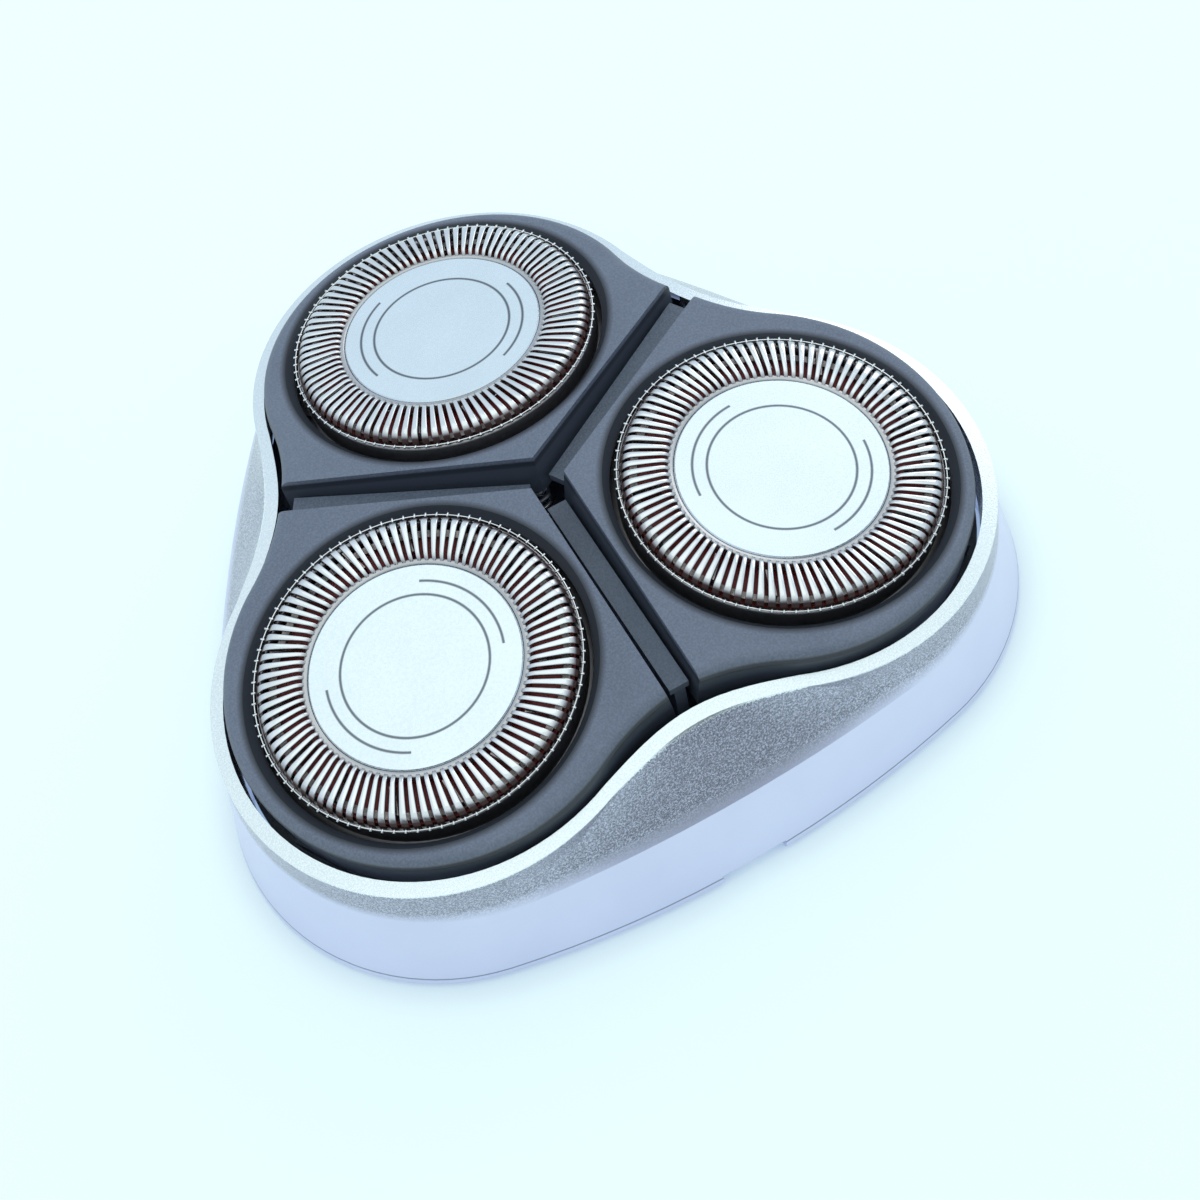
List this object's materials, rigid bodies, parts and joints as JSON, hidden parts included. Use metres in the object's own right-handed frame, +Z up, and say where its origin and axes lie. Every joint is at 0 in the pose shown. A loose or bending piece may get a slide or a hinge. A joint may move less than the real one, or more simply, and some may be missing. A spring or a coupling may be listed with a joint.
{
  "type": "rotary shaver head",
  "caption": "Rotary shaver head with tilting petals, slotted steel guards over spinning blade rings, in a silver skirt.",
  "frame": {"origin": "centre of the mouth of the central socket, on the threefold axis, level with the skirt's lower rim", "axes": "+Z up along the threefold axis, out of the shaving side; -Y towards the front, where the lower edge has its notch; head 1 towards +Y"},
  "size_m": [0.0602, 0.0581, 0.0164],
  "materials": {
    "skirt": "moulded plastic in silver metallic lacquer, fine grain",
    "frame": "dark grey moulded plastic",
    "screw_steel": "plain steel",
    "pin_steel": "ground steel",
    "petal": "matt dark grey with fine grain",
    "cap_steel": "polished pressed steel",
    "disc_steel": "satin steel",
    "blade_steel": "hardened steel",
    "carrier": "dark red moulded plastic",
    "ring": "dark grey moulded plastic",
    "spring_steel": "spring wire"
  },
  "bodies": {
    "housing": {"skirt_housing": "skirt", "base_frame": "frame", "socket_bush": "frame", "screws": "screw_steel", "pivot_pins": "pin_steel", "petal_spring_1": "spring_steel", "petal_spring_2": "spring_steel", "petal_spring_3": "spring_steel"},
    "petal_1": {"petal_1": "petal"},
    "cap_1": {"cap_1": "cap_steel", "disc_1": "disc_steel"},
    "cutter_1": {"cutter_blades_1": "blade_steel", "cutter_carrier_1": "carrier"},
    "ring_1": {"retaining_ring_1": "ring"},
    "petal_2": {"petal_2": "petal"},
    "cap_2": {"cap_2": "cap_steel", "disc_2": "disc_steel"},
    "cutter_2": {"cutter_blades_2": "blade_steel", "cutter_carrier_2": "carrier"},
    "ring_2": {"retaining_ring_2": "ring"},
    "petal_3": {"petal_3": "petal"},
    "cap_3": {"cap_3": "cap_steel", "disc_3": "disc_steel"},
    "cutter_3": {"cutter_blades_3": "blade_steel", "cutter_carrier_3": "carrier"},
    "ring_3": {"retaining_ring_3": "ring"}
  },
  "joints": [
    {"name": "petal_tilt_1", "type": "hinge", "parent": "housing", "child": "petal_1", "pos_m": [0, 0.01524, 0.00885], "axis": [1, 0, 0], "range_deg": [0, 4.5], "stiffness_Nm_per_rad": 0.02, "springref_deg": -17.19, "deforming": ["petal_spring_1"]},
    {"name": "cap_float_1", "type": "slide", "parent": "petal_1", "child": "cap_1", "axis": [0, 0.1264, 0.992], "range_m": [0, 0.0005]},
    {"name": "cutter_spin_1", "type": "hinge", "parent": "cap_1", "child": "cutter_1", "pos_m": [0, 0.01581, 0.01331], "axis": [0, 0.1264, 0.992], "continuous": true},
    {"name": "ring_lock_1", "type": "hinge", "parent": "petal_1", "child": "ring_1", "pos_m": [0, 0.01553, 0.01113], "axis": [0, 0.1264, 0.992], "range_deg": [0, 15]},
    {"name": "petal_tilt_2", "type": "hinge", "parent": "housing", "child": "petal_2", "pos_m": [0.0132, -0.00762, 0.00885], "axis": [-0.5, -0.866, 0], "range_deg": [0, 4.5], "stiffness_Nm_per_rad": 0.02, "springref_deg": -17.19, "deforming": ["petal_spring_2"]},
    {"name": "cap_float_2", "type": "slide", "parent": "petal_2", "child": "cap_2", "axis": [0.1094, -0.0632, 0.992], "range_m": [0, 0.0005]},
    {"name": "cutter_spin_2", "type": "hinge", "parent": "cap_2", "child": "cutter_2", "pos_m": [0.01369, -0.00791, 0.01331], "axis": [0.1094, -0.0632, 0.992], "continuous": true},
    {"name": "ring_lock_2", "type": "hinge", "parent": "petal_2", "child": "ring_2", "pos_m": [0.01345, -0.00777, 0.01113], "axis": [0.1094, -0.0632, 0.992], "range_deg": [0, 15]},
    {"name": "petal_tilt_3", "type": "hinge", "parent": "housing", "child": "petal_3", "pos_m": [-0.0132, -0.00762, 0.00885], "axis": [-0.5, 0.866, 0], "range_deg": [0, 4.5], "stiffness_Nm_per_rad": 0.02, "springref_deg": -17.19, "deforming": ["petal_spring_3"]},
    {"name": "cap_float_3", "type": "slide", "parent": "petal_3", "child": "cap_3", "axis": [-0.1094, -0.0632, 0.992], "range_m": [0, 0.0005]},
    {"name": "cutter_spin_3", "type": "hinge", "parent": "cap_3", "child": "cutter_3", "pos_m": [-0.01369, -0.00791, 0.01331], "axis": [-0.1094, -0.0632, 0.992], "continuous": true},
    {"name": "ring_lock_3", "type": "hinge", "parent": "petal_3", "child": "ring_3", "pos_m": [-0.01345, -0.00777, 0.01113], "axis": [-0.1094, -0.0632, 0.992], "range_deg": [0, 15]}
  ]
}
